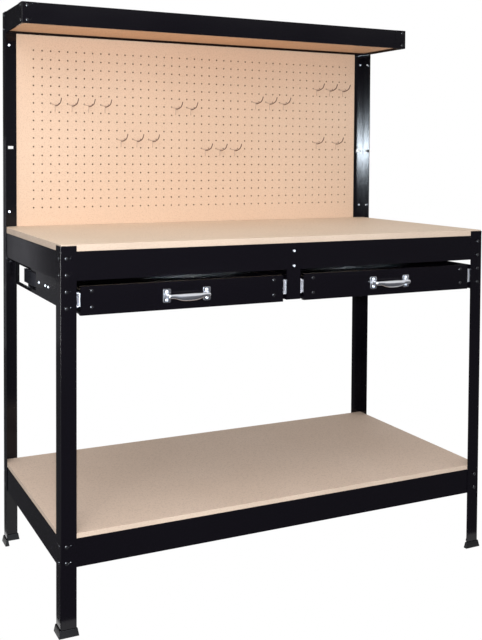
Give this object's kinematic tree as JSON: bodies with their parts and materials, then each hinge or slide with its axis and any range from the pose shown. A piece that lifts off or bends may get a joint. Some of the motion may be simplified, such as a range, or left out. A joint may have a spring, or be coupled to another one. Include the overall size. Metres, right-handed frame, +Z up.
{
  "type": "workbench with pegboard",
  "caption": "Workbench on black angle-steel legs with a wood worktop, lower shelf, pegboard back with wire hooks, a shallow upper shelf and drawers on ball slides.",
  "frame": {"origin": "on the floor, under the middle of the object's box", "axes": "+Z up, +X to the right as seen by a user in front, +Y from the front to the pegboard"},
  "size_m": [1.22, 0.6332, 1.504],
  "materials": {
    "black_steel": "gloss black powder coat",
    "particle_board": "bare, fine grained, matt",
    "hardboard": "smooth, matt",
    "zinc_wire": "bright zinc",
    "zinc_steel": "bright zinc plate",
    "chrome": "polished",
    "bright_screw": "bright",
    "foot_plastic": "matt black"
  },
  "bodies": {
    "frame": {"drawer_support_left": "black_steel", "drawer_support_right": "black_steel", "foot_front_left": "foot_plastic", "foot_front_right": "foot_plastic", "foot_rear_left": "foot_plastic", "foot_rear_right": "foot_plastic", "front_leg_left": "black_steel", "front_leg_right": "black_steel", "left_drawer_left_slide_outer": "zinc_steel", "left_drawer_right_slide_outer": "zinc_steel", "lower_rail_front": "black_steel", "lower_rail_left": "black_steel", "lower_rail_rear": "black_steel", "lower_rail_right": "black_steel", "lower_rivets": "black_steel", "lower_shelf": "particle_board", "middle_channel": "black_steel", "middle_channel_bolts": "zinc_steel", "pegboard": "hardboard", "pegboard_bar_lower": "black_steel", "pegboard_bar_upper": "black_steel", "pegboard_bolts": "zinc_steel", "pegboard_hooks": "zinc_wire", "rear_post_left": "black_steel", "rear_post_right": "black_steel", "right_drawer_left_slide_outer": "zinc_steel", "right_drawer_right_slide_outer": "zinc_steel", "shelf_rivets": "black_steel", "slide_screws": "bright_screw", "table_rail_front": "black_steel", "table_rail_left": "black_steel", "table_rail_rear": "black_steel", "table_rail_right": "black_steel", "table_rivets": "black_steel", "upper_shelf_board": "particle_board", "upper_shelf_corner_left": "black_steel", "upper_shelf_corner_right": "black_steel", "upper_shelf_front": "black_steel", "upper_shelf_left": "black_steel", "upper_shelf_rear": "black_steel", "upper_shelf_right": "black_steel", "worktop": "particle_board"},
    "drawer_left": {"left_drawer_box": "black_steel", "left_drawer_fasteners": "black_steel", "left_drawer_front": "black_steel", "left_drawer_handle": "chrome", "left_drawer_left_slide_inner": "zinc_steel", "left_drawer_right_slide_inner": "zinc_steel", "left_handle_screws": "bright_screw"},
    "drawer_right": {"right_drawer_box": "black_steel", "right_drawer_fasteners": "black_steel", "right_drawer_front": "black_steel", "right_drawer_handle": "chrome", "right_drawer_left_slide_inner": "zinc_steel", "right_drawer_right_slide_inner": "zinc_steel", "right_handle_screws": "bright_screw"},
    "runners_left": {"left_drawer_left_slide_middle": "zinc_steel", "left_drawer_right_slide_middle": "zinc_steel"},
    "runners_right": {"right_drawer_left_slide_middle": "zinc_steel", "right_drawer_right_slide_middle": "zinc_steel"}
  },
  "joints": [
    {"name": "left_drawer_slide", "type": "slide", "parent": "frame", "child": "drawer_left", "axis": [0, -1, 0], "range_m": [0, 0.45]},
    {"name": "left_runner_slide", "type": "slide", "parent": "frame", "child": "runners_left", "axis": [0, -1, 0], "range_m": [0, 0.225]},
    {"name": "right_drawer_slide", "type": "slide", "parent": "frame", "child": "drawer_right", "axis": [0, -1, 0], "range_m": [0, 0.45]},
    {"name": "right_runner_slide", "type": "slide", "parent": "frame", "child": "runners_right", "axis": [0, -1, 0], "range_m": [0, 0.225]}
  ],
  "couplings": [
    {"joint": "left_runner_slide", "follows": "left_drawer_slide", "ratio": 0.5},
    {"joint": "right_runner_slide", "follows": "right_drawer_slide", "ratio": 0.5}
  ]
}
